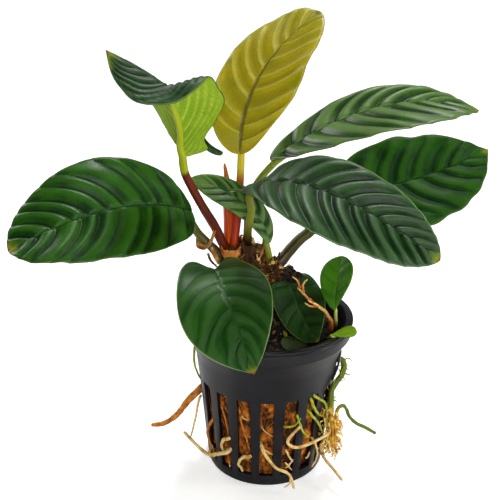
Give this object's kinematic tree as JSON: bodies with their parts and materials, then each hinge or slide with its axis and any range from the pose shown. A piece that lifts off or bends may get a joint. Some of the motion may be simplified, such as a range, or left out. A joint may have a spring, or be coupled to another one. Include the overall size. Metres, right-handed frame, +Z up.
{
  "type": "potted broad-leaved aquarium plant",
  "caption": "Small broad-leaved aquarium plant with pleated dark green leaves on red and green stalks, rooted in fibre in a slotted black net pot.",
  "frame": {"origin": "middle of the pot's flat underside, on the surface that the pot stands on", "axes": "+Z up along the pot's axis; -Y is the front, towards the heart-shaped leaf; +X is to the right seen from the front"},
  "size_m": [0.1362, 0.0707, 0.1363],
  "materials": {
    "pot_plastic": "satin",
    "coir": "matte",
    "soil": "matte",
    "rhizome": "matte",
    "dry_sheath": "matte",
    "leaf": "gloss",
    "young_leaf": "satin",
    "sprout_leaf": "satin",
    "stalk": "satin",
    "red_stalk": "satin",
    "green_root": "satin",
    "brown_root": "satin",
    "pale_root": "satin"
  },
  "bodies": {
    "root": {"blade_bud": "sprout_leaf", "blade_folded": "leaf", "blade_front_right": "leaf", "blade_heart": "leaf", "blade_left": "leaf", "blade_middle": "leaf", "blade_pot_low": "leaf", "blade_pot_oval": "leaf", "blade_rear_right": "leaf", "blade_sprout": "sprout_leaf", "blade_upper_right": "leaf", "blade_young": "young_leaf", "bud_stem": "stalk", "coir_plug": "coir", "crown_collar": "dry_sheath", "net_pot": "pot_plastic", "potting_soil": "soil", "red_sheath": "red_stalk", "rhizome": "rhizome", "root_front": "pale_root", "root_green_curl": "green_root", "root_green_drop": "green_root", "root_left_curl": "pale_root", "root_left_thick": "brown_root", "root_left_thin": "pale_root", "root_pale_loop": "pale_root", "root_pale_right": "pale_root", "sprout_stem": "stalk", "stalk_folded": "red_stalk", "stalk_front_right": "stalk", "stalk_heart": "stalk", "stalk_left": "stalk", "stalk_middle": "stalk", "stalk_pot_low": "stalk", "stalk_pot_oval": "stalk", "stalk_rear_right": "stalk", "stalk_upper_right": "stalk", "stalk_young": "red_stalk", "withered_stalk": "dry_sheath"}
  },
  "joints": []
}
